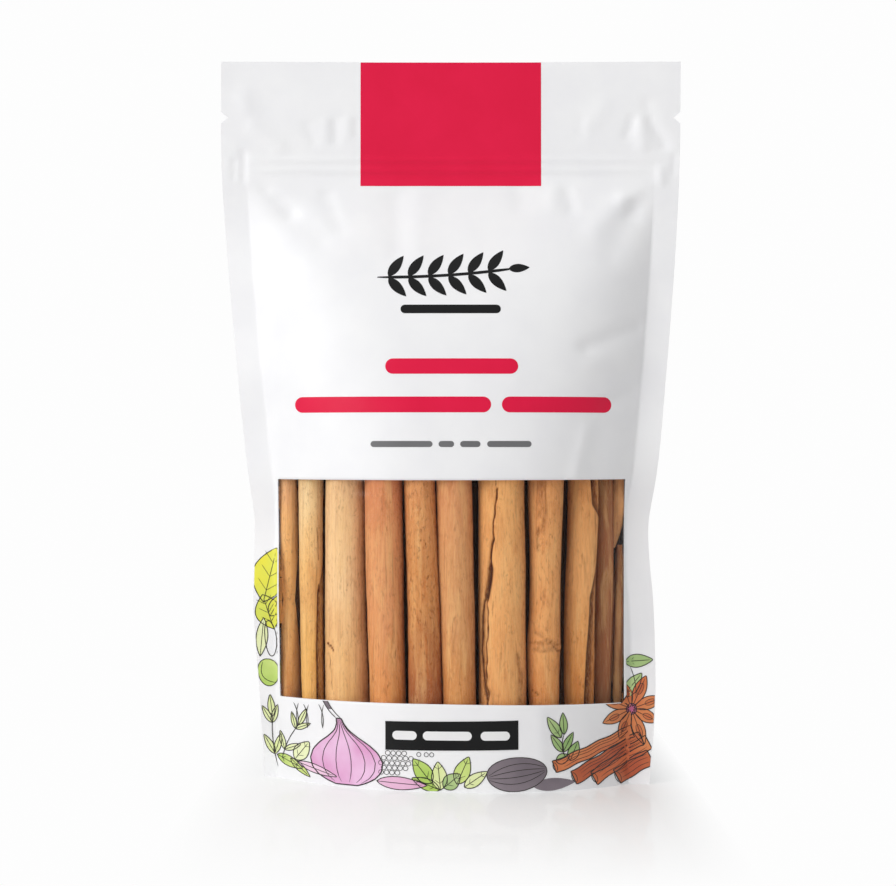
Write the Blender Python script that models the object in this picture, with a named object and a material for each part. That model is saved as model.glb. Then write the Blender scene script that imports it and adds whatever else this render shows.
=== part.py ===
"""Stand-up pouch with a clear window, and the row of cinnamon sticks that stands behind it.

The pouch is one closed solid with the outer form of the filled pack: a flat head with its
zip ridge and tear notches, two flat side seals, a belly that swells towards the base, and a
hollow under the base where the gusset folds up. A recess behind the window holds the sticks.
Units are metres. The front faces -Y, and the origin is the middle of the base outline.
"""

import math
from typing import NamedTuple

import bmesh
import bpy

# Pouch, driving dimensions
PACK_HEIGHT = 0.220
SIDE_SEAL = 0.0065
SEAL_THICKNESS = 0.0008
FILM_WALL = 0.0008
SECTION_POWER = 2.5
# Half width of the pack's outer edge, and how far its belly stands out, each by height
EDGE_BY_HEIGHT = ((0.0, 0.0590), (0.050, 0.0615), (0.080, 0.0608), (0.178, 0.0700), (0.220, 0.0700))
BELLY_BY_HEIGHT = ((0.0, 0.0270), (0.050, 0.0247), (0.092, 0.0226), (0.150, 0.0124), (0.184, 0.0))

# Zip ridge inside the head, and the notches that start a tear
ZIP_HEIGHT = 0.1875
ZIP_WIDTH = 0.0070
ZIP_SWELL = 0.0009
NOTCH_HEIGHT = 0.2020
NOTCH_DEPTH = 0.0024

# Window in the front, the recess behind it and the hollow under the base
WINDOW_HALF_WIDTH = 0.0525
WINDOW_FOOT = 0.0245
WINDOW_HEAD = 0.0920
RECESS_PAST_WINDOW = 0.0060
RECESS_FLOOR_MIDDLE = -0.0058
RECESS_FLOOR_RISE = 0.0125
RECESS_BACK_WALL = 0.0014
PANE_THICKNESS = 0.0004
GUSSET_RISE = 0.0070
GUSSET_RIM = 0.0022

# Sticks behind the window
GAP = 0.0003
STICK_SIDES = 14
STICK_RINGS = 9


class Stick(NamedTuple):
    """One stick: its places along X and its diameters at the foot and at the head."""

    foot_x: float
    head_x: float
    foot_diameter: float
    head_diameter: float
    set_back: float = 0.0
    foot_raised: float = 0.0
    head_lowered: float = 0.0


STICKS = (
    Stick(-0.0482, -0.0495, 0.0060, 0.0052),
    Stick(-0.0415, -0.0423, 0.0068, 0.0080),
    Stick(-0.0308, -0.0320, 0.0134, 0.0114),
    Stick(-0.0184, -0.0201, 0.0106, 0.0114),
    Stick(-0.0073, -0.0095, 0.0102, 0.0090),
    Stick(0.0028, 0.0008, 0.0096, 0.0108),
    Stick(0.0154, 0.0151, 0.0144, 0.0138),
    Stick(0.0279, 0.0285, 0.0094, 0.0112),
    Stick(0.0387, 0.0402, 0.0090, 0.0088),
    Stick(0.0464, 0.0471, 0.0048, 0.0042, set_back=0.0032),
    Stick(0.0507, 0.0508, 0.0028, 0.0026, head_lowered=0.026),
    Stick(0.0480, 0.0508, 0.0012, 0.0026, foot_raised=0.052),
)


def smooth_between(stations, height):
    """Value at a height from (height, value) stations, with no kink at a station."""
    count = len(stations)
    for i in range(count - 1):
        (low, a), (high, b) = stations[i], stations[i + 1]
        if height <= high or i == count - 2:
            break
    before = stations[max(i - 1, 0)]
    after = stations[min(i + 2, count - 1)]
    span = high - low
    t = min(max((height - low) / span, 0.0), 1.0)
    slope_a = (b - before[1]) / (high - before[0]) * span
    slope_b = (after[1] - a) / (after[0] - low) * span
    return (
        (2 * t**3 - 3 * t**2 + 1) * a
        + (t**3 - 2 * t**2 + t) * slope_a
        + (3 * t**2 - 2 * t**3) * b
        + (t**3 - t**2) * slope_b
    )


def edge_half_width(z):
    return smooth_between(EDGE_BY_HEIGHT, z)


def belly_half_width(z):
    return edge_half_width(z) - SIDE_SEAL


def zip_swell(z):
    across = (z - ZIP_HEIGHT) / (ZIP_WIDTH / 2)
    return ZIP_SWELL * max(0.0, 1 - across**2)


def half_depth(x, z):
    """How far the front or the back skin stands from the plane of the seals."""
    share = min(abs(x) / belly_half_width(z), 1.0)
    belly = max(smooth_between(BELLY_BY_HEIGHT, min(z, BELLY_BY_HEIGHT[-1][0])), 0.0)
    return (
        SEAL_THICKNESS / 2
        + belly * (1 - share**SECTION_POWER)
        + zip_swell(z) * (1 - share**8)
    )


def half_depth_slope(x, z):
    step = 0.0002
    return (half_depth(x + step, z) - half_depth(x - step, z)) / (2 * step)


def recess_floor(x, z):
    """Y of the recess's back, which keeps a wall to the pouch's own back skin."""
    share = abs(x) / WINDOW_HALF_WIDTH
    floor = RECESS_FLOOR_MIDDLE + RECESS_FLOOR_RISE * share**3
    return min(floor, half_depth(x, z) - RECESS_BACK_WALL)


def spread(low, high, count):
    return [low + (high - low) * i / (count - 1) for i in range(count)]


def material(name, colour, roughness, alpha=1.0):
    made = bpy.data.materials.new(name)
    made.use_nodes = True
    shader = made.node_tree.nodes["Principled BSDF"]
    shader.inputs["Base Color"].default_value = (*colour, 1.0)
    shader.inputs["Roughness"].default_value = roughness
    shader.inputs["Metallic"].default_value = 0.0
    shader.inputs["Alpha"].default_value = alpha
    made.diffuse_color = (*colour, alpha)
    return made


def loft(name, rings, collection):
    """Closed mesh through rings of the same number of points, each end shut by one face."""
    shape = bmesh.new()
    rows = [[shape.verts.new(point) for point in ring] for ring in rings]
    count = len(rings[0])
    for lower, upper in zip(rows, rows[1:]):
        for i in range(count):
            j = (i + 1) % count
            shape.faces.new((lower[i], lower[j], upper[j], upper[i]))
    shape.faces.new(rows[0])
    shape.faces.new(rows[-1])
    bmesh.ops.recalc_face_normals(shape, faces=shape.faces)
    mesh = bpy.data.meshes.new(name)
    shape.to_mesh(mesh)
    shape.free()
    made = bpy.data.objects.new(name, mesh)
    collection.objects.link(made)
    return made


def pouch_ring(z, columns=25):
    """Outline of the pouch at one height: front skin left to right, then back skin."""
    edge = edge_half_width(z)
    inner = belly_half_width(z)
    xs = [inner * math.sin(math.pi / 2 * t) for t in spread(-1, 1, columns)]
    xs = [-edge, *xs, edge]
    front = [(x, -half_depth(x, z), z) for x in xs]
    back = [(x, half_depth(x, z), z) for x in reversed(xs)]
    return front + back


def pouch_heights():
    belly = spread(0.0, BELLY_BY_HEIGHT[-1][0] - 0.0015, 34)
    ridge = [ZIP_HEIGHT + ZIP_WIDTH / 2 * t for t in (-1, -0.6, 0, 0.6, 1)]
    head = spread(ZIP_HEIGHT + ZIP_WIDTH / 2 + 0.004, PACK_HEIGHT, 4)
    return belly + ridge + head


def gusset_hollow(cutters):
    """Boat-shaped cutter for the hollow that the folded gusset leaves under the base."""
    rings = []
    for share, rise in ((1.0, -0.004), (1.0, 0.0), (0.93, 0.45), (0.75, 0.80), (0.45, 1.0)):
        z = rise if rise < 0 else rise * GUSSET_RISE
        inner = (belly_half_width(0.0) - 2 * GUSSET_RIM) * share
        xs = [inner * math.sin(math.pi / 2 * t) for t in spread(-1, 1, 21)]

        def depth(x, share=share):
            return max((half_depth(x / share, 0.0) - GUSSET_RIM) * share, 0.0002)

        rings.append([(x, -depth(x), z) for x in xs] + [(x, depth(x), z) for x in reversed(xs)])
    return loft("cut_gusset", rings, cutters)


def slab_between(name, half_width, low, high, front, back, collection):
    """Solid between two skins, each given as y at (x, z)."""
    xs = spread(-half_width, half_width, 31)
    rings = []
    for z in spread(low, high, 15):
        near = [(x, front(x, z), z) for x in xs]
        far = [(x, back(x, z), z) for x in reversed(xs)]
        rings.append(near + far)
    return loft(name, rings, collection)


def window_cutters(cutters):
    recess = slab_between(
        "cut_recess",
        WINDOW_HALF_WIDTH - GAP,
        WINDOW_FOOT - RECESS_PAST_WINDOW,
        WINDOW_HEAD + RECESS_PAST_WINDOW,
        lambda x, z: -(half_depth(x, z) - FILM_WALL),
        recess_floor,
        cutters,
    )
    opening = slab_between(
        "cut_window",
        WINDOW_HALF_WIDTH,
        WINDOW_FOOT,
        WINDOW_HEAD,
        lambda x, z: -(half_depth(x, z) + 0.005),
        lambda x, z: -(half_depth(x, z) - FILM_WALL) + GAP,
        cutters,
    )
    return [recess, opening]


def notch_cutter(side, cutters):
    bpy.ops.mesh.primitive_cylinder_add(
        vertices=4,
        radius=NOTCH_DEPTH,
        depth=4 * SEAL_THICKNESS,
        location=(side * edge_half_width(NOTCH_HEIGHT), 0, NOTCH_HEIGHT),
        rotation=(math.pi / 2, 0, 0),
    )
    cutter = bpy.context.object
    cutter.name = f"cut_notch_{'right' if side > 0 else 'left'}"
    cutter.users_collection[0].objects.unlink(cutter)
    cutters.objects.link(cutter)
    return cutter


def build_pouch(parts, cutters):
    pouch = loft("pouch", [pouch_ring(z) for z in pouch_heights()], parts)
    tools = [gusset_hollow(cutters), *window_cutters(cutters)]
    tools += [notch_cutter(side, cutters) for side in (-1, 1)]
    for tool in tools:
        tool.hide_render = True
        tool.display_type = "WIRE"
        cut = pouch.modifiers.new(tool.name, "BOOLEAN")
        cut.operation = "DIFFERENCE"
        cut.solver = "EXACT"
        cut.object = tool
    pouch.data.materials.append(material("pouch_film", (0.86, 0.86, 0.86), 0.45))
    return pouch


def build_pane(parts):
    """Clear film that closes the window, flush with the pouch's front skin."""
    pane = slab_between(
        "window_film",
        WINDOW_HALF_WIDTH - GAP,
        WINDOW_FOOT + GAP,
        WINDOW_HEAD - GAP,
        lambda x, z: -half_depth(x, z),
        lambda x, z: -half_depth(x, z) + PANE_THICKNESS,
        parts,
    )
    pane.data.materials.append(material("clear_film", (0.95, 0.95, 0.95), 0.1, alpha=0.2))
    return pane


def stick_centre_y(x, z, radius, set_back):
    """Y at which a stick of this radius lies just clear of the film in front of it."""
    lean = math.atan(half_depth_slope(x, z))
    clearance = FILM_WALL + GAP + radius
    return -half_depth(x, z) + clearance / math.cos(lean) + set_back


def build_stick(number, stick, bark, parts):
    foot_z = WINDOW_FOOT - RECESS_PAST_WINDOW + GAP + stick.foot_raised
    head_z = WINDOW_HEAD + RECESS_PAST_WINDOW - GAP - stick.head_lowered
    ends = []
    for x, z, diameter in (
        (stick.foot_x, foot_z, stick.foot_diameter),
        (stick.head_x, head_z, stick.head_diameter),
    ):
        y = stick_centre_y(x, z, diameter / 2, stick.set_back)
        ends.append((x, y, z, diameter / 2))
    rings = []
    for t in spread(0, 1, STICK_RINGS):
        x, y, z, radius = [a + (b - a) * t for a, b in zip(*ends)]
        turns = [2 * math.pi * i / STICK_SIDES for i in range(STICK_SIDES)]
        rings.append([(x + radius * math.cos(a), y + radius * math.sin(a), z) for a in turns])
    made = loft(f"stick_{number:02d}", rings, parts)
    made.data.shade_smooth()
    made.data.set_sharp_from_angle(angle=math.radians(50))
    made.data.materials.append(bark)
    return made


def main():
    for obj in list(bpy.data.objects):
        bpy.data.objects.remove(obj)
    parts = bpy.data.collections.new("cinnamon_pouch")
    cutters = bpy.data.collections.new("cutters")
    bpy.context.scene.collection.children.link(parts)
    bpy.context.scene.collection.children.link(cutters)
    build_pouch(parts, cutters)
    build_pane(parts)
    bark = material("cinnamon_bark", (0.55, 0.27, 0.11), 0.7)
    for number, stick in enumerate(STICKS, start=1):
        build_stick(number, stick, bark, parts)


main()
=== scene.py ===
import math

import bmesh
import bpy
import numpy as np
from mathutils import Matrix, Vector


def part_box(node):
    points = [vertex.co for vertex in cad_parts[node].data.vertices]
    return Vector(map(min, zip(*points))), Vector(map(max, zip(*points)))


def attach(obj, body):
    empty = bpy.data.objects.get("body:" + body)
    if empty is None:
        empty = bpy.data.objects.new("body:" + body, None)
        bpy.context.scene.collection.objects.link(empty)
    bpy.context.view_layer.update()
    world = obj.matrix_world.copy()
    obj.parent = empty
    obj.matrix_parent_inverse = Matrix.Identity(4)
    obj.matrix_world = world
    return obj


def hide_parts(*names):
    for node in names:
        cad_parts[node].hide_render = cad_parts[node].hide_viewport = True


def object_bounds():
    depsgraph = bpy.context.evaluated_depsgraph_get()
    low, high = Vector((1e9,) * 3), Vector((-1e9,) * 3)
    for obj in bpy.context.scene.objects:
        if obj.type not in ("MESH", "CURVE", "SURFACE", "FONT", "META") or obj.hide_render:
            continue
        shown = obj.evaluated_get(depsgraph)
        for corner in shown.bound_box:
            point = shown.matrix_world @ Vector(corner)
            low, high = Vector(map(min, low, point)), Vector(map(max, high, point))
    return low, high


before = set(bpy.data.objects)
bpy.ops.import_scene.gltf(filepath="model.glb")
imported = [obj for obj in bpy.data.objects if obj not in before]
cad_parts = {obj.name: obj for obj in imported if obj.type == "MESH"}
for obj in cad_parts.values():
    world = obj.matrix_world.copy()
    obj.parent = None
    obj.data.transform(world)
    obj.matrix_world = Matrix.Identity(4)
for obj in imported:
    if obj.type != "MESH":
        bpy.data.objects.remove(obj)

cadBox = [list(corner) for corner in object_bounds()]
mm = 0.001


def srgb(red, green, blue):
    # a colour as seen on screen, 0 to 255, turned to the linear values that shaders want
    shares = (value / 255 for value in (red, green, blue))
    return tuple(v / 12.92 if v <= 0.04 else ((v + 0.055) / 1.055) ** 2.4 for v in shares)


def ramp(value, low, high):
    # 0 up to low, 1 from high on, and even between them
    return np.clip((value - low) / (high - low), 0, 1)


def along(stations, where):
    # smooth value at each place, through (place, value) stations
    places, values = np.array(stations, float).T
    slopes = np.gradient(values, places)
    where = np.asarray(where, float)
    i = np.clip(np.searchsorted(places, where) - 1, 0, len(places) - 2)
    span = places[i + 1] - places[i]
    t = np.clip((where - places[i]) / span, 0, 1)
    start = (2 * t**3 - 3 * t**2 + 1) * values[i] + (t**3 - 2 * t**2 + t) * span * slopes[i]
    end = (3 * t**2 - 2 * t**3) * values[i + 1] + (t**3 - t**2) * span * slopes[i + 1]
    return start + end


def cloudNoise(points, size, seed):
    # soft noise from -1 to 1, with lumps about this size, at an array of points
    cells = 32
    lattice = np.random.default_rng(seed).uniform(-1, 1, (cells, cells, cells))
    p = np.asarray(points, float) / size + 100
    cell = np.floor(p).astype(int)
    t = p - cell
    t = t * t * (3 - 2 * t)
    total = np.zeros(p.shape[:-1])
    for step in np.ndindex(2, 2, 2):
        x, y, z = np.moveaxis((cell + step) % cells, -1, 0)
        total += np.where(step, t, 1 - t).prod(-1) * lattice[x, y, z]
    return total


def awayFrom(x, z, ax, az, bx, bz):
    # how far each point is from the line between a and b
    run = max((bx - ax) ** 2 + (bz - az) ** 2, 1e-12)
    t = np.clip(((x - ax) * (bx - ax) + (z - az) * (bz - az)) / run, 0, 1)
    return np.hypot(x - ax - t * (bx - ax), z - az - t * (bz - az))


def meshPiece(name, points, faces, materials, crease=50, marksAndShade=None):
    mesh = bpy.data.meshes.new(name)
    mesh.from_pydata([tuple(p) for p in points], [], [tuple(f) for f in faces])
    piece = bpy.data.objects.new(name, mesh)
    bpy.context.scene.collection.objects.link(piece)
    for made in materials:
        mesh.materials.append(made)
    if marksAndShade is not None:  # how dark each point is, from marks and painted shade, read by the bark
        mesh.attributes.new("marksAndShade", "FLOAT", "POINT").data.foreach_set("value", marksAndShade)
    tidy = bmesh.new()
    tidy.from_mesh(mesh)
    bmesh.ops.remove_doubles(tidy, verts=tidy.verts, dist=1e-7)
    bmesh.ops.dissolve_degenerate(tidy, edges=tidy.edges, dist=1e-6)
    tidy.to_mesh(mesh)
    tidy.free()
    mesh.shade_smooth()
    mesh.set_sharp_from_angle(angle=math.radians(crease))
    return piece


def gridFaces(rows, columns, start=0):
    first = start + np.arange(rows - 1)[:, None] * columns + np.arange(columns - 1)[None, :]
    return np.stack([first, first + 1, first + columns + 1, first + columns], -1).reshape(-1, 4)


def tubeFaces(rings, around, start=0):
    # sides of a tube made of point rings, with a cap at each end
    index = start + np.arange(rings * around).reshape(rings, around)
    following = np.roll(index, -1, 1)
    sides = np.stack([index[:-1], following[:-1], following[1:], index[1:]], -1).reshape(-1, 4)
    return [tuple(f) for f in sides] + [tuple(index[0][::-1]), tuple(index[-1])]


def bandFaces(low, up):
    # faces between two lines of points that run side by side
    return np.stack([low[:-1], up[:-1], up[1:], low[1:]], -1)


def thicken(piece, thickness):
    shell = piece.modifiers.new("film thickness", "SOLIDIFY")
    shell.thickness = thickness
    shell.offset = -1
    shell.use_even_offset = False


# Heights run up from the base, and every length is in metres
pouchForm = {
    "height": cadBox[1][2] - 0.9 * mm,
    "leftEdge": (
        (0.0, 0.0574), (0.012, 0.0580), (0.024, 0.0584), (0.037, 0.0593), (0.052, 0.0601),
        (0.068, 0.0600), (0.080, 0.0600), (0.092, 0.0617), (0.128, 0.0654), (0.165, 0.0686),
        (0.186, 0.0698), (0.220, 0.0700),
    ),
    "rightEdge": (
        (0.0, 0.0599), (0.012, 0.0611), (0.024, 0.0620), (0.043, 0.0622), (0.056, 0.0617),
        (0.067, 0.0607), (0.077, 0.0604), (0.092, 0.0626), (0.128, 0.0661), (0.165, 0.0688),
        (0.186, 0.0698), (0.220, 0.0702),
    ),
    "seal": 0.0076,
    "belly": ((0.0, 0.0270), (0.050, 0.0247), (0.092, 0.0226), (0.150, 0.0124), (0.184, 0.0), (0.220, 0.0)),
    "squareness": ((0.0, 2.5), (0.090, 2.5), (0.130, 3.2), (0.160, 4.6), (0.184, 6.5), (0.220, 6.5)),
    "halfGap": 0.00015,
    "filmThickness": 0.0001,
    "zipHeight": 0.1875,
    "zipSpacing": 0.0032,
    "zipRise": 0.00030,
    "zipWidth": 0.0008,
    "notchHeight": 0.2020,
    "notchDepth": 0.0021,
    "gussetRise": 0.0065,
    "gussetRipple": 0.0003,
    "footTwist": 0.15,
    "footTwistHeight": 0.060,
    "leftSealTurn": 0.16,
    "sealTurnFade": (0.160, 0.180),
    "leftWaves": ((0.0009, 0.0115, 0.4), (0.0005, 0.0053, 0.0)),  # height, length and start of each wave
    "rightWaves": ((0.0008, 0.0125, 2.1), (0.0005, 0.0061, 1.0)),
    "waveFade": (0.110, 0.160),
    "headBow": 0.0014,
    "headBowRise": (0.150, 0.220),
    "foldFade": 0.0012,
}
windowPlace = {
    "halfWidth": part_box("window_film")[1][0] - 0.2 * mm,
    "lean": 0.6 * mm,
    "shift": 0.5 * mm,
    "foot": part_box("window_film")[0][2] + 0.7 * mm,
    "head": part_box("window_film")[1][2] + 0.1 * mm,
}
# Folds and dents in millimetres: from (across, up) to (across, up), then width and rise to the front
folds = {
    "head": (
        (-63.1, 207.5, -62.5, 205.5, 2.8, 0.34), (-60.1, 199.2, -52.4, 193.7, 2.5, 0.38),
        (-65.7, 214.4, -55.0, 208.3, 5.0, -0.34), (-43.6, 199.3, -41.6, 194.6, 1.5, -0.26),
        (-38.4, 201.2, -38.0, 196.6, 1.4, 0.22), (-35.2, 200.7, -35.0, 194.6, 1.3, -0.3),
        (-31.4, 201.4, -31.2, 196.5, 1.3, 0.22), (-28.8, 200.7, -28.6, 197.4, 1.1, -0.26),
        (39.8, 201.2, 39.6, 197.8, 1.6, -0.22), (46.0, 205.0, 41.5, 199.0, 3.0, 0.24),
        (55.6, 201.3, 54.0, 196.8, 1.7, -0.42), (58.1, 200.7, 58.7, 193.4, 2.0, 0.46),
        (61.0, 201.3, 65.2, 194.0, 1.9, -0.52), (60.0, 206.2, 60.0, 204.8, 2.0, -0.3),
        (-66.0, 189.0, -66.0, 183.8, 0.9, -0.26), (-63.2, 191.0, -63.2, 183.2, 1.3, -0.36),
        (68.2, 190.0, 68.0, 185.4, 0.9, -0.26), (63.9, 185.4, 64.2, 183.0, 1.7, 0.56),
    ),
    "front": (
        (-63.0, 183.0, -56.5, 180.4, 1.6, -0.62), (-56.5, 180.4, -48.5, 172.4, 2.4, -0.72),
        (-48.5, 172.4, -39.5, 164.6, 3.6, -0.52), (-38.0, 177.6, -33.4, 167.4, 2.6, -0.46),
        (-16.5, 177.5, -16.0, 162.0, 3.6, -0.4), (-9.5, 178.0, -9.8, 160.0, 3.6, 0.24),
        (20.6, 180.5, 21.4, 175.0, 3.2, -0.36), (31.4, 181.0, 30.8, 175.0, 2.6, 0.34),
        (35.4, 180.0, 36.8, 174.0, 2.2, -0.44), (63.4, 183.0, 52.5, 177.0, 2.4, 0.7),
        (52.5, 177.0, 43.6, 168.0, 3.4, 0.62), (61.0, 178.4, 55.0, 172.4, 2.6, -0.5),
        (55.0, 172.4, 48.6, 160.0, 3.8, -0.46), (56.0, 137.5, 41.0, 131.6, 2.5, -0.8),
        (54.0, 128.0, 42.0, 126.6, 3.2, 0.3), (54.5, 118.4, 47.0, 114.4, 2.4, -0.55),
        (40.6, 106.0, 37.2, 92.0, 2.2, 0.46), (45.4, 106.0, 43.4, 93.0, 3.6, -0.34),
        (26.4, 22.0, 27.0, 8.0, 2.4, 0.26), (31.5, 22.0, 32.5, 8.0, 3.2, -0.2),
        (-56.6, 80.0, -54.0, 74.0, 2.6, -0.5), (57.0, 77.0, 54.8, 68.0, 2.6, -0.45),
        (-52.0, 86.6, 50.0, 85.8, 1.5, 0.15), (-50.0, 82.8, 52.0, 82.2, 1.6, -0.12),
        (-52.0, 78.4, 30.0, 79.4, 1.6, 0.06),
    ),
    "back": (
        (-58.0, 179.0, -44.0, 168.0, 3.0, -0.6), (60.0, 180.0, 47.0, 170.0, 3.0, -0.65),
        (-20.0, 178.0, -18.0, 165.0, 3.4, -0.4), (12.0, 178.0, 14.0, 163.0, 3.8, -0.36),
        (-52.0, 130.0, -38.0, 124.0, 3.0, -0.6), (50.0, 96.0, 36.0, 104.0, 3.2, -0.55),
        (-30.0, 62.0, -18.0, 40.0, 6.0, 0.3), (22.0, 70.0, 30.0, 44.0, 6.0, 0.32),
    ),
}
skins = {  # ripples are (rise, size, seed), in millimetres
    "front": {"side": -1, "slice": 0.0, "ripples": ((0.16, 15, 3), (0.05, 6, 4))},
    "back": {"side": 1, "slice": 0.2, "ripples": ((0.22, 17, 5), (0.06, 7, 6))},
}


def foldsAt(part, x, z):
    # sum of all folds, each a soft ridge or valley along its line
    total = np.zeros(np.broadcast(x, z).shape)
    for ax, az, bx, bz, width, rise in np.array(folds[part]) * mm:
        total += rise * np.exp(-((awayFrom(x, z, ax, az, bx, bz) / width) ** 2))
    return total


def plainEdge(x, z):
    # half width of the pouch on the side that x is on
    return np.where(x < 0, along(pouchForm["leftEdge"], z), along(pouchForm["rightEdge"], z))


def edgeAt(x, z):
    # half width of the outer edge, with its tear notch
    bite = 1 - np.abs(z - pouchForm["notchHeight"]) / (pouchForm["notchDepth"] * 0.85)
    return plainEdge(x, z) - pouchForm["notchDepth"] * np.clip(bite, 0, 1)


def innerAt(x, z):
    # half width to the inner line of the side seal
    return np.maximum(plainEdge(x, z) - pouchForm["seal"], windowPlace["halfWidth"] + 1.6 * mm)


def skinDepth(x, z):
    # how far each skin stands from the middle surface
    share = ramp(np.abs(x), 0, innerAt(x, z))
    belly = along(pouchForm["belly"], z) * (1 - share ** along(pouchForm["squareness"], z))
    zipRidges = sum(
        np.exp(-(((z - pouchForm["zipHeight"] - aside) / pouchForm["zipWidth"]) ** 2))
        for aside in (-pouchForm["zipSpacing"] / 2, pouchForm["zipSpacing"] / 2)
    )
    return pouchForm["halfGap"] + np.maximum(belly, 0) + pouchForm["zipRise"] * zipRidges * (1 - share**14)


def waveAt(side, z):
    return sum(height * np.sin(z / length + start) for height, length, start in pouchForm[side])


def middleSurface(x, z):
    # the sheet that both skins share at the head and in the seals, slightly wavy
    share = ramp(np.abs(x), 0, innerAt(x, z))
    wave = np.where(x < 0, waveAt("leftWaves", z), waveAt("rightWaves", z))
    wave = wave * share**4 * (1 - ramp(z, *pouchForm["waveFade"])) * ramp(z, 0, 12 * mm)
    bow = pouchForm["headBow"] * ramp(z, *pouchForm["headBowRise"]) ** 2 * (1 - (x / 0.07) ** 2)
    twist = -pouchForm["footTwist"] * x * (1 - ramp(z, 0, pouchForm["footTwistHeight"])) ** 2
    past = np.maximum(-x - innerAt(x, z), 0)
    turnedSeal = pouchForm["leftSealTurn"] * past * (1 - ramp(z, *pouchForm["sealTurnFade"]))
    return wave + bow + twist + turnedSeal - foldsAt("head", x, z)


def skinY(skin, x, z):
    look, depth = skins[skin], skinDepth(x, z)
    fade = ramp(depth, pouchForm["halfGap"], pouchForm["halfGap"] + pouchForm["foldFade"])
    here = np.stack(np.broadcast_arrays(x, look["slice"], z), -1)
    ripple = sum(rise * mm * cloudNoise(here, size * mm, seed) for rise, size, seed in look["ripples"])
    return middleSurface(x, z) + look["side"] * (depth + fade * (foldsAt(skin, x, z) + ripple))


def frontY(x, z):
    return skinY("front", x, z)


def backY(x, z):
    return skinY("back", x, z)


def onSkin(skin, x, z, lift):
    # points on a skin, lifted off it towards the outside
    x, z = np.asarray(x, float), np.asarray(z, float)
    step = 0.1 * mm
    across = (skinY(skin, x + step, z) - skinY(skin, x - step, z)) / (2 * step)
    up = (skinY(skin, x, z + step) - skinY(skin, x, z - step)) / (2 * step)
    lifted = skins[skin]["side"] * lift / np.sqrt(1 + across**2 + up**2)
    return np.stack([x - lifted * across, skinY(skin, x, z) + lifted, z - lifted * up], -1)


def newMaterial(name):
    made = bpy.data.materials.new(name)
    made.use_nodes = True
    tree = made.node_tree
    tree.nodes.clear()
    out = tree.nodes.new("ShaderNodeOutputMaterial")
    shader = tree.nodes.new("ShaderNodeBsdfPrincipled")
    tree.links.new(shader.outputs[0], out.inputs[0])
    return made, tree, shader


def feed(tree, node, inputs):
    # each input takes a value or another node's output
    for key, value in inputs.items():
        if isinstance(value, bpy.types.NodeSocket):
            tree.links.new(value, node.inputs[key])
        else:
            node.inputs[key].default_value = value


def addNode(tree, kind, inputs=None, **settings):
    node = tree.nodes.new("ShaderNode" + kind)
    for key, value in settings.items():
        setattr(node, key, value)
    feed(tree, node, inputs or {})
    return node


def mathNode(tree, operation, *values, clamp=False):
    made = addNode(tree, "Math", dict(enumerate(values)), operation=operation, use_clamp=clamp)
    return made.outputs[0]


def objectPlace(tree):
    # X, Y and Z of the object's own coordinates
    coords = addNode(tree, "TexCoord")
    return addNode(tree, "SeparateXYZ", {0: coords.outputs["Object"]}).outputs


def noiseNode(tree, lumps, detail=3, roughness=0.5, distortion=0.0, offset=(0, 0, 0)):
    # noise with so many lumps to the metre each way
    coords = addNode(tree, "TexCoord")
    inputs = {"Vector": coords.outputs["Object"], "Scale": lumps, "Location": offset}
    place = addNode(tree, "Mapping", inputs)
    inputs = {"Scale": 1, "Detail": detail, "Roughness": roughness, "Distortion": distortion}
    return addNode(tree, "TexNoise", {"Vector": place.outputs[0], **inputs}).outputs["Fac"]


def mapRange(tree, value, low, high, toLow=0, toHigh=1):
    ends = {"From Min": low, "From Max": high, "To Min": toLow, "To Max": toHigh}
    return addNode(tree, "MapRange", {"Value": value, **ends}).outputs[0]


def mixColour(tree, factor, first, second):
    first, second = ((*v, 1) if isinstance(v, tuple) else v for v in (first, second))
    return addNode(tree, "Mix", {0: factor, 6: first, 7: second}, data_type="RGBA").outputs[2]


def mixShader(tree, factor, first, second):
    return addNode(tree, "MixShader", {0: factor, 1: first.outputs[0], 2: second.outputs[0]})


def bumpNode(tree, height, strength, distance):
    return addNode(tree, "Bump", {"Height": height, "Strength": strength, "Distance": distance}).outputs[0]


filmLook = {
    "white": srgb(246, 246, 247),
    "shadeWhite": srgb(242, 242, 244),
    "clouds": (60, 60, 60),
    "grain": (700, 700, 700),
    "roughness": (0.36, 0.46),
    "waves": (260, 260, 180),
    "waveHeight": 0.2 * mm,
    "bump": 0.18,
    "specular": 0.38,
}


def filmMaterial(name, colour, secondColour, sheen=filmLook["specular"]):
    # satin laminate: an even colour, faint cloudiness and very shallow waves
    made, tree, shader = newMaterial(name)
    clouds = mapRange(tree, noiseNode(tree, filmLook["clouds"]), 0.35, 0.65)
    grain, waves = noiseNode(tree, filmLook["grain"], 2), noiseNode(tree, filmLook["waves"], 2)
    feed(tree, shader, {
        "Base Color": mixColour(tree, clouds, colour, secondColour),
        "Roughness": mapRange(tree, grain, 0.3, 0.7, *filmLook["roughness"]),
        "Specular IOR Level": sheen,
        "Normal": bumpNode(tree, waves, filmLook["bump"], filmLook["waveHeight"]),
    })
    return made


clearLook = {
    "tint": (0.99, 0.99, 0.985, 1),
    "roughness": 0.13,
    "waves": (120, 120, 340),
    "waveHeight": 0.3 * mm,
    "bump": 0.3,
    "gloss": 0.005,
    "rim": 0.35,
    "rimPower": 4.0,
}


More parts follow.
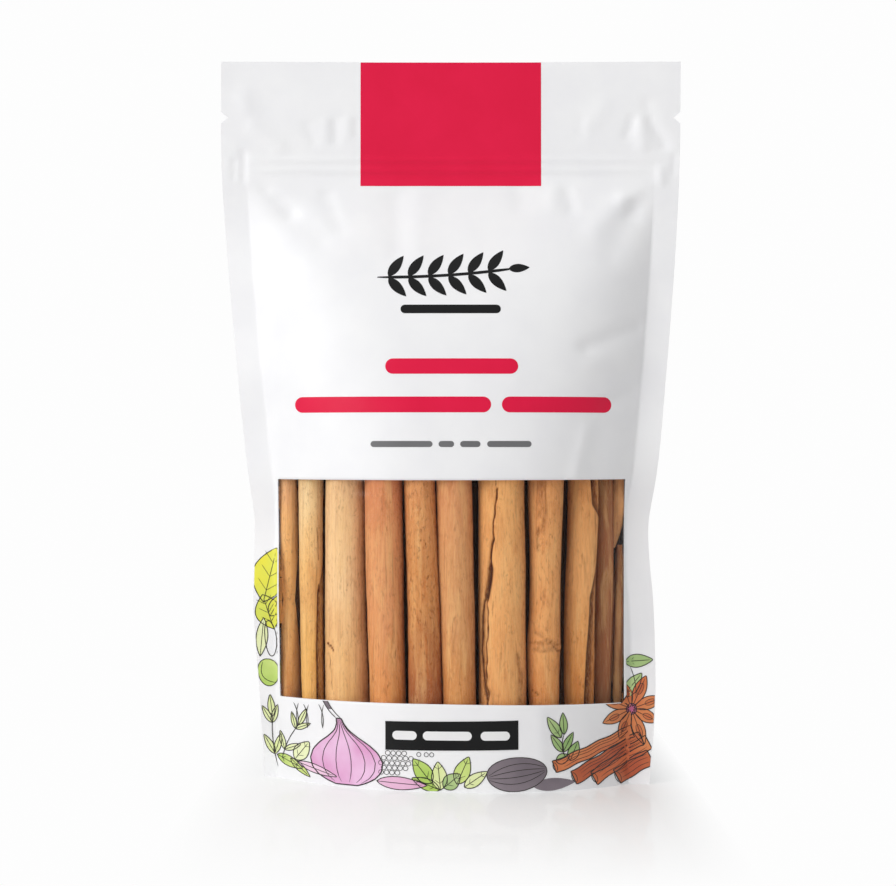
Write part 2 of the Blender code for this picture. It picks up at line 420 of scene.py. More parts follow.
def clearMaterial(name):
    # clear film: see-through, with a faint mirror that grows towards the rims
    made, tree, shader = newMaterial(name)
    waves = noiseNode(tree, clearLook["waves"], 2)
    feed(tree, shader, {
        "Base Color": (1, 1, 1, 1),
        "Metallic": 1.0,
        "Roughness": clearLook["roughness"],
        "Normal": bumpNode(tree, waves, clearLook["bump"], clearLook["waveHeight"]),
    })
    tilt = addNode(tree, "LayerWeight", {"Blend": 0.5})
    steep = mathNode(tree, "POWER", tilt.outputs["Facing"], clearLook["rimPower"])
    mirror = mapRange(tree, steep, 0, 1, clearLook["gloss"], clearLook["rim"])
    clear = addNode(tree, "BsdfTransparent", {"Color": clearLook["tint"]})
    feed(tree, tree.nodes["Material Output"], {0: mixShader(tree, mirror, clear, shader).outputs[0]})
    return made


whiteFilm = filmMaterial("white film", filmLook["white"], filmLook["shadeWhite"])
crimsonInk = filmMaterial("crimson ink", srgb(228, 16, 68), srgb(224, 12, 64), sheen=0.25)
blackInk = filmMaterial("black ink", srgb(2, 2, 3), srgb(12, 13, 14), sheen=0.2)
greyInk = filmMaterial("grey ink", srgb(104, 104, 106), srgb(112, 112, 114))
whiteInk = filmMaterial("white ink", srgb(240, 240, 240), srgb(235, 235, 236))
clearFilm = clearMaterial("clear film")
gridStep = {"across": 0.8 * mm, "up": 0.8 * mm, "gussetRows": 14, "sealColumns": 10, "stripColumns": 5}


def spacedRows():
    # heights of the film's rows, with one exactly at each edge that has to be crisp
    notch, bite = pouchForm["notchHeight"], pouchForm["notchDepth"] * 0.85
    foot, head = windowPlace["foot"], windowPlace["head"]
    stops = [0.0, foot, head, notch - bite, notch, notch + bite, pouchForm["height"]]
    rows = [0.0]
    for low, high in zip(stops, stops[1:]):
        steps = max(3, round((high - low) / gridStep["up"]))
        rows += list(np.linspace(low, high, steps + 1)[1:])
    return np.array(rows), *np.searchsorted(rows, (foot - 1e-9, head - 1e-9))


def columnPlaces(z):
    # places across one row: seal, strip beside the window, window, strip, seal
    half = windowPlace["halfWidth"]
    spread = max(1.0, float(innerAt(-1.0, z) + innerAt(1.0, z)) / (2 * half + 3 * mm)) if z > 0.1 else 1.0
    lean = windowPlace["lean"] * float(ramp(z, windowPlace["foot"], windowPlace["foot"] + 0.066))
    sides = [-half * spread - lean, half * spread + lean + windowPlace["shift"]]
    marks = [-edgeAt(-1.0, z), -innerAt(-1.0, z), *sides, innerAt(1.0, z), edgeAt(1.0, z)]
    seal, strip = gridStep["sealColumns"], gridStep["stripColumns"]
    counts = [seal, strip, round(2 * half / gridStep["across"]), strip, seal]
    places = [float(marks[0])]
    for low, high, steps in zip(marks, marks[1:], counts):
        places += list(np.linspace(float(low), float(high), steps + 1)[1:])
    return places, sum(counts[:2]), sum(counts[:3])


def windowSlant(x, z):
    # the window's lower edge is a little arched and tilted, as it was printed
    foot = windowPlace["foot"]
    near = ramp(z, 0, foot) * (1 - ramp(z, foot, foot + 0.04))
    share = np.clip(x / windowPlace["halfWidth"], -1.2, 1.2)
    return (0.3 - 0.6 * share - 0.8 * share**2) * mm * near


def buildPouch():
    rows, footRow, headRow = spacedRows()
    placed = [columnPlaces(z) for z in rows]
    x = np.array([p[0] for p in placed])
    leftColumn, rightColumn = placed[0][1:]
    z = np.repeat(rows[:, None], x.shape[1], 1)
    z = z + windowSlant(x, z)
    high, wide = x.shape
    n = high * wide
    front = np.stack([x, frontY(x, z), z], -1)
    back = np.stack([x, backY(x, z), z], -1)
    frontFaces = gridFaces(high, wide)
    inWindow = np.zeros((high - 1, wide - 1), bool)
    inWindow[footRow:headRow, leftColumn:rightColumn] = True
    inWindow = inWindow.reshape(-1)
    left, top = np.arange(high) * wide, (high - 1) * wide + np.arange(wide)
    right = left + wide - 1
    faces = [frontFaces[~inWindow], gridFaces(high, wide, n)[:, ::-1]]
    faces += [bandFaces(left + n, left), bandFaces(right, right + n), bandFaces(top + n, top)]
    # gusset: from the front skin's lower edge over to the back skin's
    steps = gridStep["gussetRows"]
    arch = 1 - ramp(np.abs(x[0]), 0, innerAt(x[0], 0.0)) ** 2
    lines = []
    for t in np.arange(1, steps) / steps:
        line = front[0] * (1 - t) + back[0] * t
        line[:, 2] = pouchForm["gussetRise"] * (1 - (2 * t - 1) ** 4) * arch
        line[:, 2] += pouchForm["gussetRipple"] * cloudNoise(line, 9 * mm, 8) * arch * math.sin(math.pi * t)
        lines.append(line)
    points = np.concatenate([front.reshape(-1, 3), back.reshape(-1, 3), *lines])
    across = np.arange(wide)
    bands = [across, *(2 * n + j * wide + across for j in range(steps - 1)), n + across]
    faces += [bandFaces(low, up) for low, up in zip(bands, bands[1:])]
    pouch = meshPiece("pouchFilm", points, np.concatenate(faces), [whiteFilm])
    thicken(pouch, pouchForm["filmThickness"])
    keys, renumbered = np.unique(frontFaces[inWindow], return_inverse=True)
    window = meshPiece("windowClearFilm", points[keys], renumbered.reshape(-1, 4), [clearFilm])
    thicken(window, 0.6 * pouchForm["filmThickness"])
    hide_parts("pouch")
    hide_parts("window_film")
    for piece in (pouch, window):
        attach(piece, "root")
    print("pouch film:", len(pouch.data.polygons), "faces, window film:", len(window.data.polygons))


buildPouch()


def barPatch(x0, x1, z0, z1, rounding=0.0, slant=0.0, step=0.9 * mm):
    # a bar of rounded ends as rows of points across; slant tilts it, as a rise over its length
    columns = max(2, math.ceil((x1 - x0) / step))
    xs = np.linspace(x0, x1, columns + 1)
    if rounding > 0:
        ends = rounding * (1 - np.cos(np.linspace(0, math.pi / 2, 7)))
        between = np.linspace(x0 + rounding, x1 - rounding, columns + 1)[1:-1]
        xs = np.concatenate([x0 + ends, between, x1 - ends[::-1]])
    reach = np.clip(rounding - np.minimum(xs - x0, x1 - xs), 0, None)
    cut = rounding - np.sqrt(np.clip(rounding**2 - reach**2, 0, None))
    tall = np.maximum((z1 - z0) / 2 - cut, 1e-6)
    rows = max(2, math.ceil((z1 - z0) / step) + 1)
    x = np.repeat(xs[None, :], rows, 0)
    tilt = slant * (x - (x0 + x1) / 2) / max(x1 - x0, 1e-9)
    return x, (z0 + z1) / 2 + np.linspace(-1, 1, rows)[:, None] * tall[None, :] + tilt


def printPiece(name, patches, ink, skin="front", lift=0.05 * mm):
    # thin ink layer: each patch is a grid of points laid on the film
    points, faces = [], []
    for x, z in patches:
        made = gridFaces(*x.shape, start=sum(len(p) for p in points))
        faces.append(made if skin == "front" else made[:, ::-1])
        points.append(onSkin(skin, x, z, lift).reshape(-1, 3))
    piece = meshPiece(name, np.concatenate(points), np.concatenate(faces), [ink], crease=80)
    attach(piece, "root")


def keptOnFilm(x, z):
    # print stops at the window's rim, at the outer edge and at the base
    lean = windowPlace["lean"] + windowPlace["shift"] * (x > 0)
    half, foot = windowPlace["halfWidth"] + lean + 0.15 * mm, windowPlace["foot"] - 0.25 * mm
    low = foot + windowSlant(x, np.full(np.shape(z), windowPlace["foot"]))
    over = (np.abs(x) < half) & (z > low) & (z < windowPlace["head"])
    sideways = over & (half - np.abs(x) < z - low)
    x = np.where(sideways, np.where(x < 0, -half, half), x)
    z = np.where(over & ~sideways, low, z)
    z = np.maximum(z, 0.35 * mm)
    return np.clip(x, -edgeAt(-1.0, z) + 0.2 * mm, edgeAt(1.0, z) - 0.2 * mm), z


def filled(outline, rings=5):
    # a shape round its own middle, as rings of points from the middle to the outline, in millimetres
    outline = np.array(outline, float)
    closed = np.concatenate([outline, outline[:1]])
    middle = outline.mean(0)
    grown = middle + (closed[None] - middle) * np.linspace(0, 1, rings)[:, None, None]
    return keptOnFilm(grown[..., 0] * mm, grown[..., 1] * mm)


def stroke(points, width, closed=False):
    # a pen line through points, thinner at its ends, in millimetres
    points = np.array(points, float)
    if closed:
        points = np.concatenate([points, points[:1]])
    length = np.concatenate([[0], np.cumsum(np.hypot(*np.diff(points, axis=0).T))])
    count = max(4, math.ceil(length[-1] / 0.5))
    at = np.linspace(0, length[-1], count)
    x, z = np.interp(at, length, points[:, 0]), np.interp(at, length, points[:, 1])
    dx, dz = np.gradient(x), np.gradient(z)
    size = np.hypot(dx, dz) + 1e-9
    t = at / length[-1]
    wide = width / 2 * (1.0 if closed else np.clip(np.minimum(t, 1 - t) * 5 + 0.35, 0, 1))
    sides = np.array([1, -1])[:, None]
    return keptOnFilm((x + sides * dz / size * wide) * mm, (z - sides * dx / size * wide) * mm)


def towards(angle):
    return np.array([math.cos(math.radians(angle)), math.sin(math.radians(angle))])


def turned(points, middle, angle):
    c, s = towards(angle)
    x, z = np.array(points, float).T
    return np.stack([middle[0] + c * x - s * z, middle[1] + s * x + c * z], -1)


def leafShape(middle, length, width, angle, belly=0.42):
    # pointed at both ends and fullest at belly's share of its length
    t = np.linspace(0, 1, 15)
    power = math.log(0.5) / math.log(belly)
    half = width / 2 * np.sin(np.pi * t**power) ** 0.85
    upper = np.stack([(t - 0.5) * length, half], -1)
    lower = np.stack([(t[::-1] - 0.5) * length, -half[::-1]], -1)
    return turned(np.concatenate([upper, lower[1:-1]]), middle, angle)


def ovalShape(middle, wide, tall, angle=0, wobble=0.0):
    turn = np.linspace(0, 2 * math.pi, 29)[:-1]
    swell = 1 + wobble * np.sin(3 * turn + middle[0])
    outline = np.stack([wide / 2 * np.cos(turn) * swell, tall / 2 * np.sin(turn) * swell], -1)
    return turned(outline, middle, angle)


def curve(start, end, bow, count=9):
    # an arc from start to end that stands bow out to the left of its way
    t = np.linspace(0, 1, count)[:, None]
    start, end = np.array(start, float), np.array(end, float)
    side = np.array([-(end - start)[1], (end - start)[0]]) / max(np.hypot(*(end - start)), 1e-9)
    return start + (end - start) * t + side * bow * 4 * t * (1 - t)


washes = {
    "yellow": ((236, 228, 62), (218, 226, 92)),
    "leaf": ((176, 208, 96), (212, 228, 138)),
    "lime": ((222, 234, 158), (236, 242, 192)),
    "green": ((142, 180, 108), (186, 208, 144)),
    "pink": ((240, 202, 232), (222, 158, 202)),
    "rose": ((228, 168, 204), (242, 206, 228)),
    "nut": ((136, 125, 132), (108, 98, 106)),
    "orange": ((224, 146, 92), (206, 106, 62)),
    "brown": ((212, 124, 74), (180, 84, 50)),
    "plum": ((206, 110, 152), (176, 84, 122)),
}
drawing = {name: [] for name in washes}
penLines = []


def pen(points, width, closed=False):
    penLines.append(stroke(points, width, closed))


def drawShape(wash, shape, width, rings=5):
    drawing[wash].append(filled(shape, rings))
    pen(shape, width, closed=True)


def drawLeaf(wash, middle, length, width, angle, veins=3, belly=0.42):
    drawShape(wash, leafShape(middle, length, width, angle, belly), 0.26)
    pen(turned([(-0.52 * length, 0), (0.40 * length, 0)], middle, angle), 0.20)
    for i in range(veins):
        at = (-0.28 + 0.5 * i / max(veins - 1, 1)) * length
        reach = width * 0.30
        for side in (-1, 1):
            pen(turned([(at, 0), (at + reach * 0.9, side * reach)], middle, angle), 0.14)


def drawOval(wash, middle, wide, tall, angle=0, wobble=0.03):
    drawShape(wash, ovalShape(middle, wide, tall, angle, wobble), 0.25)


def drawSprig(wash, foot, head, pairs, leaf, spreadAngle=42):
    # a stem with leaves in pairs and one at its head; leaf is (length, width)
    stem = curve(foot, head, 0.8)
    pen(stem, 0.26)
    way = math.degrees(math.atan2(head[1] - foot[1], head[0] - foot[0]))
    for i in range(pairs):
        at = stem[2 + round(i * 5 / max(pairs - 1, 1))]
        size = leaf[0] * (1 - 0.12 * i)
        for angle in (way - spreadAngle, way + spreadAngle):
            drawLeaf(wash, at + 0.5 * size * towards(angle), size, leaf[1] * (1 - 0.1 * i), angle, veins=0)
    drawLeaf(wash, head + 0.5 * leaf[0] * towards(way), *leaf, way, veins=0)


def drawBulb(foot, wide, tall, neck, tip):
    # a papery bulb whose ribs meet in its neck, with a dry stem up to the tip
    heights = (0.0, 0.05, 0.12, 0.22, 0.36, 0.50, 0.62, 0.72, 0.82, 0.92, 1.0)
    halves = (0.30, 0.56, 0.78, 0.95, 1.0, 0.90, 0.68, 0.42, 0.20, 0.10, 0.07)
    t = np.linspace(0, 1, 26)
    half = np.interp(t, heights, halves) * wide / 2
    x, z = foot[0] + (neck - foot[0]) * t**2.5, foot[1] + t * tall
    base = np.stack([np.linspace(x[0] + half[0], x[0] - half[0], 9), np.full(9, z[0])], -1)[1:-1]
    shape = np.concatenate([np.stack([x - half, z], -1), np.stack([x + half, z], -1)[::-1], base])
    drawShape("pink", shape, 0.36, 18)
    for share in (-0.66, -0.28, 0.14, 0.52, 0.80):
        pen(np.stack([x + share * half, z], -1)[1:], 0.22)
    head, tip = np.array([x[-1], z[-1]]), np.array(tip)
    left, right = curve(head - (0.7, 0), tip - (0.8, 0), 0.5), curve(head + (0.7, 0), tip + (0.6, 0), 0.5)
    drawing["nut"].append(filled(np.concatenate([left, right[::-1]])[4:-4], 4))
    pen(left, 0.26)
    pen(right, 0.26)


def drawStick(wash, foot, head, wide):
    # a drawn quill: a long bar with lines along it, whose near end shows its roll
    foot, head = np.array(foot, float), np.array(head, float)
    middle, way = (foot + head) / 2, math.degrees(math.atan2(*(head - foot)[::-1]))
    length = np.hypot(*(head - foot))
    xs = np.linspace(-length / 2, length / 2, 20)
    bend = 0.18 * np.sin(xs * 0.8)
    upper, lower = np.stack([xs, wide / 2 + bend], -1), np.stack([xs, bend - wide / 2], -1)
    rows = 7
    grid = np.stack(np.broadcast_arrays(xs, np.linspace(-0.5, 0.5, rows)[:, None] * wide + bend), -1)
    x, z = turned(grid.reshape(-1, 2), middle, way).T * mm
    drawing[wash].append(keptOnFilm(x.reshape(rows, -1), z.reshape(rows, -1)))
    pen(turned(np.concatenate([upper, lower[::-1]]), middle, way), 0.32, closed=True)
    for share in (-0.45, 0.15, 0.55):
        pen(turned(np.stack([xs, share * wide / 2 + bend], -1)[2:-1], middle, way), 0.16)
    pen(ovalShape(foot + (0.25, 0.1), wide * 0.34, wide * 0.72, way), 0.20, closed=True)


def drawStar(middle, reach, petals=8):
    for i in range(petals):
        angle = 20 + i * 360 / petals
        size = reach * (0.92 + 0.12 * math.sin(i * 2.4))
        centre = middle + towards(angle) * size * 0.54
        drawLeaf("orange", centre, size * 0.92, reach * 0.34, angle, veins=0, belly=0.5)
        seed = middle + towards(angle) * size * 0.60
        drawing["brown"].append(filled(ovalShape(seed, size * 0.30, reach * 0.13, angle), 3))
        pen(ovalShape(seed, size * 0.34, reach * 0.15, angle), 0.16, closed=True)
    drawOval("plum", middle, reach * 0.30, reach * 0.30)


def drawFront():
    # left side, from the top down
    drawLeaf("yellow", (-55.0, 62.6), 17.0, 11.0, 76, belly=0.5)
    drawLeaf("yellow", (-55.6, 51.4), 11.0, 8.0, 108, belly=0.5)
    drawLeaf("yellow", (-53.0, 53.6), 8.0, 4.0, 60, veins=0)
    drawLeaf("lime", (-57.6, 43.6), 12.0, 3.6, 84, veins=0, belly=0.5)
    pen(ovalShape((-54.9, 43.2), 3.6, 11.0, 6, 0.04), 0.26, closed=True)
    drawOval("leaf", (-55.6, 32.8), 6.8, 8.4, 10)
    pen(curve((-57.4, 36.0), (-53.4, 29.6), -2.4), 0.2)
    for i in range(6):
        pen(curve((-52.9, 38.5 + 2.0 * i), (-52.2, 39.6 + 2.0 * i), 0.3), 0.14)
    drawSprig("lime", (-53.0, 3.4), (-54.6, 19.0), 2, (7.0, 2.2), 24)
    drawSprig("lime", (-51.6, 6.0), (-46.0, 17.4), 2, (6.0, 1.8), 40)
    drawLeaf("leaf", (-49.0, 5.6), 9.0, 3.2, -20, veins=2)
    drawLeaf("lime", (-45.0, 9.6), 7.6, 4.6, 52, veins=2)
    drawLeaf("leaf", (-45.6, 4.2), 8.0, 2.4, -38, veins=0)
    drawLeaf("rose", (-40.2, 4.4), 13.0, 2.6, -14, veins=0)
    for x, z in ((-47.6, 24.2), (-44.4, 24.0), (-39.6, 24.4)):
        pen(curve((x, z), (x + 1.2, z - 7.2), 0.7), 0.24)
        pen(curve((x + 1.6, z), (x + 1.2, z - 7.2), -0.5), 0.18)
    # bulb, grains and the leaves in the middle
    drawBulb((-31.0, 0.8), 22.2, 19.8, -33.4, (-37.8, 26.4))
    drawLeaf("rose", (-14.4, 2.3), 15.0, 3.8, -3, veins=0)
    for row, (z, count) in enumerate(((11.2, 4), (9.7, 6), (8.2, 6), (6.8, 5), (5.4, 4))):
        for i in range(count):
            x = -20.6 + 0.8 * (row % 2) + 1.62 * i + (0 if row else 2.0)
            pen(ovalShape((x, z), 1.5, 1.4), 0.16, closed=True)
    for wash, x, z, length, width, angle in (
        ("leaf", -8.4, 6.2, 9.0, 5.0, 128), ("lime", -3.4, 4.9, 8.4, 4.6, 96),
        ("leaf", 3.6, 6.6, 8.8, 4.6, 66), ("lime", 7.4, 4.0, 8.2, 3.6, 34),
        ("green", 0.4, 3.4, 6.4, 4.6, 40), ("leaf", -7.4, 2.4, 9.0, 3.4, 158),
    ):
        drawLeaf(wash, (x, z), length, width, angle, veins=2)
    for x in (-9.4, -7.2, -5.6):
        pen(ovalShape((x, 11.0), 1.3, 1.3), 0.18, closed=True)
    # nut with its ribs, and its shade beside it
    drawing["nut"].append(filled(leafShape((30.6, 2.2), 13.0, 3.6, 3), 6))
    drawOval("nut", (19.4, 5.4), 17.8, 9.8, 4, 0.02)
    for share in (-0.62, -0.2, 0.2, 0.62):
        pen(curve((11.2, 4.4 + share), (27.8, 6.6 + share), 3.6 * share), 0.20)
    # right side: sprig, edge leaves, sticks and the star
    drawSprig("green", (34.0, 9.6), (33.6, 16.4), 1, (6.4, 2.4), 32)
    for x, z, length, width, angle, veins in (
        (30.6, 18.6, 7.6, 3.0, 124, 1), (36.6, 11.4, 6.0, 3.4, 66, 0), (33.2, 9.4, 4.4, 3.0, 20, 0),
        (57.2, 36.6, 8.8, 3.9, 4, 1), (55.2, 29.4, 9.2, 4.2, 50, 1),
    ):
        drawLeaf("green", (x, z), length, width, angle, veins)
    pen(curve((54.6, 34.8), (56.2, 25.6), 0.6), 0.22)
    drawStick("brown", (50.0, 2.4), (60.4, 8.0), 4.8)
    drawStick("orange", (42.6, 3.0), (60.0, 12.2), 4.4)
    drawStick("brown", (36.4, 3.6), (57.8, 13.4), 4.2)
    drawStick("orange", (30.6, 7.0), (55.0, 15.6), 3.6)
    drawStar((54.8, 22.2), 11.0)


def drawEmblem():
    # the maker's place holds a plain branch with small paired leaves, over a bar
    stem = curve((-22.0, 152.6), (20.0, 155.4), -0.8, 15)
    marks = [stroke(stem, 0.9)]
    for i in range(1, 13, 2):
        for angle in (-46, 54):
            marks.append(filled(leafShape(stem[i] + towards(angle) * 4.3, 7.8, 3.0, angle)))
    marks.append(filled(leafShape(stem[-1] + (0.6, 0.0), 6.4, 2.6, 4)))
    return marks + bars([(-15.0, 15.0, 141.6, 144.2)], 1.28)


frontPrint = {
    "block": (-27.5, 27.6, 181.1, 219.0),
    "title": (
        (-19.5, 20.1, 123.4, 128.0), (-46.9, 12.0, 111.9, 116.6), (15.2, 48.5, 111.9, 116.6),
    ),
    "smallLine": ((-23.8, -5.4), (-3.6, 1.0), (2.8, 8.8), (10.8, 24.0)),
    "smallLineHeight": (101.6, 103.4),
    "washLift": 0.040,
    "washLiftStep": 0.006,
    "label": (-19.3, 19.9, 12.3, 20.8),
    "labelSlant": 0.4,
    "labelBars": ((-17.2, -10.0), (-8.2, 6.2), (8.8, 17.4)),
    "labelBarHeight": (15.25, 17.85),
}
backPrint = {
    "title": ((-30.0, -4.0, 146.0, 151.0), (0.0, 30.0, 146.0, 151.0)),
    "textRows": (134.0, 130.4, 126.8, 123.2, 119.6),
    "textHalf": 0.55,
    "panel": (-34.0, 34.0, 44.0, 104.0),
    "panelStep": 6.0,
    "panelTextHalf": 0.6,
    "panelLineHalf": 0.12,
    "frameHalf": 0.25,
}


def bars(rows, rounding=None):
    # rounded bars from places in millimetres
    return [
        barPatch(x0 * mm, x1 * mm, z0 * mm, z1 * mm, (rounding or 0.499 * (z1 - z0)) * mm)
        for x0, x1, z0, z1 in rows
    ]


def field(place, **shape):
    return [barPatch(*(v * mm for v in place), **shape)]


def printFront():
    printPiece("crimsonBlock", field(frontPrint["block"], step=0.6 * mm), crimsonInk)
    printPiece("titleBars", bars(frontPrint["title"]), crimsonInk)
    small = [ends + frontPrint["smallLineHeight"] for ends in frontPrint["smallLine"]]
    printPiece("smallBars", bars(small), greyInk)
    printPiece("emblem", drawEmblem(), blackInk)
    drawFront()
    for i, (name, patches) in enumerate(drawing.items()):
        ink = filmMaterial(name + " wash", *(srgb(*tint) for tint in washes[name]))
        lift = frontPrint["washLift"] + frontPrint["washLiftStep"] * i
        printPiece("wash_" + name, patches, ink, lift=lift * mm)
    printPiece("penLines", penLines, penInk, lift=0.10 * mm)
    label = field(frontPrint["label"], slant=frontPrint["labelSlant"] * mm)
    printPiece("labelField", label, blackInk, lift=0.12 * mm)
    lettering = [ends + frontPrint["labelBarHeight"] for ends in frontPrint["labelBars"]]
    printPiece("labelBars", bars(lettering), whiteInk, lift=0.17 * mm)
    print("print laid on the front:", len(penLines), "pen lines")


def printBack():
    printPiece("backBlock", field(frontPrint["block"], step=0.7 * mm), crimsonInk, "back")
    printPiece("backTitle", bars(backPrint["title"]), crimsonInk, "back")
    rows, tall = [], backPrint["textHalf"]
    for i, z in enumerate(backPrint["textRows"]):
        first, second, last = 5 * (i % 3), 3 * (i % 2), 14 * (i == 4)
        ends = (-40, -18 + first), (-16 + first, 12 + second), (15 + second, 40 - last)
        rows += [(a, b, z - tall, z + tall) for a, b in ends]
    left, right, low, high = backPrint["panel"]
    tall, thin, edge = backPrint["panelTextHalf"], backPrint["panelLineHalf"], backPrint["frameHalf"]
    lineHeights = np.arange(low + 5, high - 12, backPrint["panelStep"])
    rows += [(left + 3, left + 24 - 3 * (i % 3), z - tall, z + tall) for i, z in enumerate(lineHeights)]
    rows += [(right - 12, right - 3, z - tall, z + tall) for z in lineHeights]
    rows += [(left + 3, right - 24, high - 6.2, high - 3.6)]
    rows += [(left, right, z - thin, z + thin) for z in lineHeights - 3]
    rows += [(left, right, high - 10 - thin, high - 10 + thin)]
    panelFrame = [(left, right, z - edge, z + edge) for z in (low, high)]
    panelFrame += [(x - edge, x + edge, low, high) for x in (left, right)]
    patches = bars(rows) + [patch for place in panelFrame for patch in field(place)]
    printPiece("backBars", patches, greyInk, "back")
    print("print laid on the back")


penInk = filmMaterial("pen line ink", srgb(44, 42, 40), srgb(58, 54, 50), sheen=0.2)
printFront()
printBack()
barkLook = {
    "roughness": (0.62, 0.85),
    "specular": 0.25,
    "bump": 0.75,
    "relief": 0.3 * mm,
    "pale": srgb(255, 208, 140),
    # scar brown and deep brown go where marks and painted shade are: in and round cracks and knots, and at
    # the seam, the sides and the hollow ends
    "scarAndShade": srgb(140, 74, 28),
    "deep": srgb(58, 22, 5),
    "rust": srgb(190, 92, 38),
    "speck": srgb(132, 60, 20),
    "noise": {  # lumps to the metre each way, detail, roughness, distortion and shift from stick to stick
        "drift": ((110, 110, 34), 3, 0.6, 0.0, (0.37, 0.61, 0.11)),
        "stain": ((230, 230, 60), 4, 0.6, 0.8, (0.37, 0.61, 0.11)),
        "glow": ((300, 300, 52), 3, 0.55, 0.5, (0.11, 0.37, 0.61)),
        "fibres": ((2600, 2600, 75), 5, 0.65, 0.3, (0.37, 0.61, 0.11)),
        "streaks": ((1100, 1100, 36), 4, 0.6, 0.4, (0.61, 0.11, 0.37)),
        "flecks": ((1500, 1500, 620), 4, 0.6, 0.6, (0.37, 0.61, 0.11)),
        "patchy": ((330, 330, 120), 3, 0.6, 0.0, (0.61, 0.37, 0.11)),
        "grain": ((4200, 4200, 1900), 2, 0.5, 0.0, (0.37, 0.61, 0.11)),
    },
}


def barkMaterial(name, look, seed):
    # rolled bark: tint drifts along the stick, with fibres, mottling, scars and dark pits, and painted
    # shade where the stick's marks-and-shade attribute is dark
    made, tree, shader = newMaterial(name)
    noise = {
        part: noiseNode(tree, *settings, tuple(seed * v for v in shift))
        for part, (*settings, shift) in barkLook["noise"].items()
    }

    def share(part, *ends):
        return mapRange(tree, noise[part], *ends)

    head, middle, foot = (srgb(*tint) for tint in look["tints"])
    low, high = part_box("stick_01")
    height = mapRange(tree, objectPlace(tree)["Z"], low[2], high[2])
    wander = mathNode(tree, "MULTIPLY_ADD", noise["drift"], 0.7, height)
    tint = mixColour(tree, mapRange(tree, wander, 0.42, 0.82), foot, middle)
    tint = mixColour(tree, mapRange(tree, wander, 0.98, 1.32), tint, head)
    mottle = look["mottle"]
    patches = share("patchy", 0.44 - 0.2 * mottle, 0.66, 0.12, 0.35 + 0.6 * mottle)
    # how dark each point is, from its marks and from painted shade at the seam, the sides and the hollow
    # ends
    marks = addNode(tree, "Attribute", attribute_name="marksAndShade").outputs["Fac"]
    markAndShadeEdge = mapRange(tree, marks, 0, 0.55, 0, 0.85)
    for factor, colour in (
        (share("stain", 0.52, 0.74, 0, 0.20 + 0.5 * mottle), "rust"),  # broad stains, redder and paler
        (share("glow", 0.50, 0.70, 0, 0.42), "pale"),
        (share("fibres", 0.34, 0.52, 0.24, 0), "rust"),  # long fibres, light and dark
        (share("fibres", 0.56, 0.74, 0, 0.30), "pale"),
        (share("streaks", 0.58, 0.74, 0, 0.40), "speck"),
        (mathNode(tree, "MULTIPLY", share("flecks", 0.53, 0.68), patches), "speck"),  # pits
        (share("grain", 0.58, 0.72, 0, 0.28), "pale"),
        # scar-brown flecks and deep brown: cracks and knots, and painted shade at the seam, the sides and
        # the hollow ends
        (mathNode(tree, "MULTIPLY", markAndShadeEdge, share("flecks", 0.40, 0.60, 0.60, 1.20), clamp=True), "scarAndShade"),
        (mapRange(tree, marks, 0.40, 1), "deep"),
    ):
        tint = mixColour(tree, factor, tint, barkLook[colour])
    relief = mixColour(tree, 0.5, noise["fibres"], noise["flecks"])
    feed(tree, shader, {
        "Base Color": tint,
        "Roughness": share("stain", 0.3, 0.7, *barkLook["roughness"]),
        "Specular IOR Level": barkLook["specular"],
        "Normal": bumpNode(tree, relief, barkLook["bump"], barkLook["relief"]),
    })
    return made
